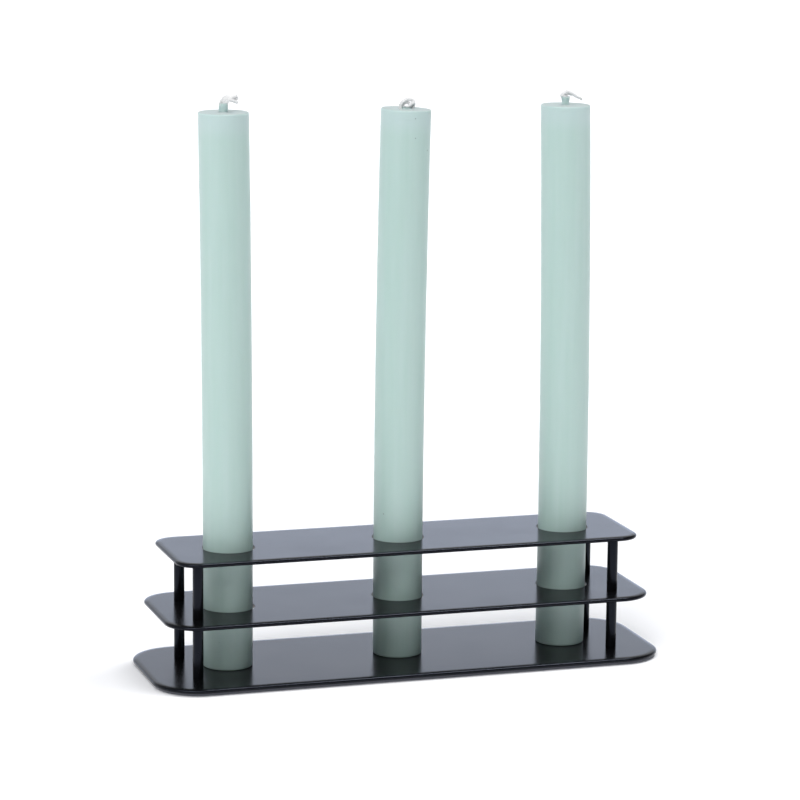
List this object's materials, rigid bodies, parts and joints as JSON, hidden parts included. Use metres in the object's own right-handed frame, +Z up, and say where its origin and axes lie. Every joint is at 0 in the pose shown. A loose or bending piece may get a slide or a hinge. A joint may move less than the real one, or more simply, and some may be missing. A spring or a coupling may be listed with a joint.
{
  "type": "tabletop candelabra",
  "caption": "Low rectangular holder of stepped black steel plates on round posts, with round holes in which tall dinner candles stand on the base plate.",
  "frame": {"origin": "on the table under the middle of the base plate", "axes": "+Z up, X along the row of candles, front towards -Y, so +X is on the right seen from the front"},
  "size_m": [0.23, 0.075, 0.2519],
  "materials": {
    "black_coating": "smooth semi-gloss black powder coat",
    "zinc_plated_steel": "bright zinc plating",
    "foot_rubber": "matt",
    "sage_wax": null,
    "wick_cotton": "braided cotton, waxed at its root"
  },
  "bodies": {
    "holder": {"top_plate": "black_coating", "middle_plate": "black_coating", "base_plate": "black_coating", "upper_post_front_left": "black_coating", "upper_post_front_right": "black_coating", "upper_post_back_left": "black_coating", "upper_post_back_right": "black_coating", "lower_post_front_left": "black_coating", "lower_post_front_right": "black_coating", "lower_post_back_left": "black_coating", "lower_post_back_right": "black_coating", "weld_stud_front_left": "zinc_plated_steel", "weld_stud_front_right": "zinc_plated_steel", "weld_stud_back_left": "zinc_plated_steel", "weld_stud_back_right": "zinc_plated_steel", "joining_stud_front_left": "zinc_plated_steel", "joining_stud_front_right": "zinc_plated_steel", "joining_stud_back_left": "zinc_plated_steel", "joining_stud_back_right": "zinc_plated_steel", "base_screw_front_left": "zinc_plated_steel", "base_screw_front_right": "zinc_plated_steel", "base_screw_back_left": "zinc_plated_steel", "base_screw_back_right": "zinc_plated_steel", "foot_pad_front_left": "foot_rubber", "foot_pad_front_right": "foot_rubber", "foot_pad_back_left": "foot_rubber", "foot_pad_back_right": "foot_rubber"},
    "left_candle": {"candle_left": "sage_wax", "wick_left": "wick_cotton"},
    "middle_candle": {"candle_middle": "sage_wax", "wick_middle": "wick_cotton"},
    "right_candle": {"candle_right": "sage_wax", "wick_right": "wick_cotton"}
  },
  "joints": [
    {"name": "left_candle_lift", "type": "slide", "parent": "holder", "child": "left_candle", "axis": [0, 0, 1], "range_m": [0, 0.06]},
    {"name": "middle_candle_lift", "type": "slide", "parent": "holder", "child": "middle_candle", "axis": [0, 0, 1], "range_m": [0, 0.06]},
    {"name": "right_candle_lift", "type": "slide", "parent": "holder", "child": "right_candle", "axis": [0, 0, 1], "range_m": [0, 0.06]}
  ]
}
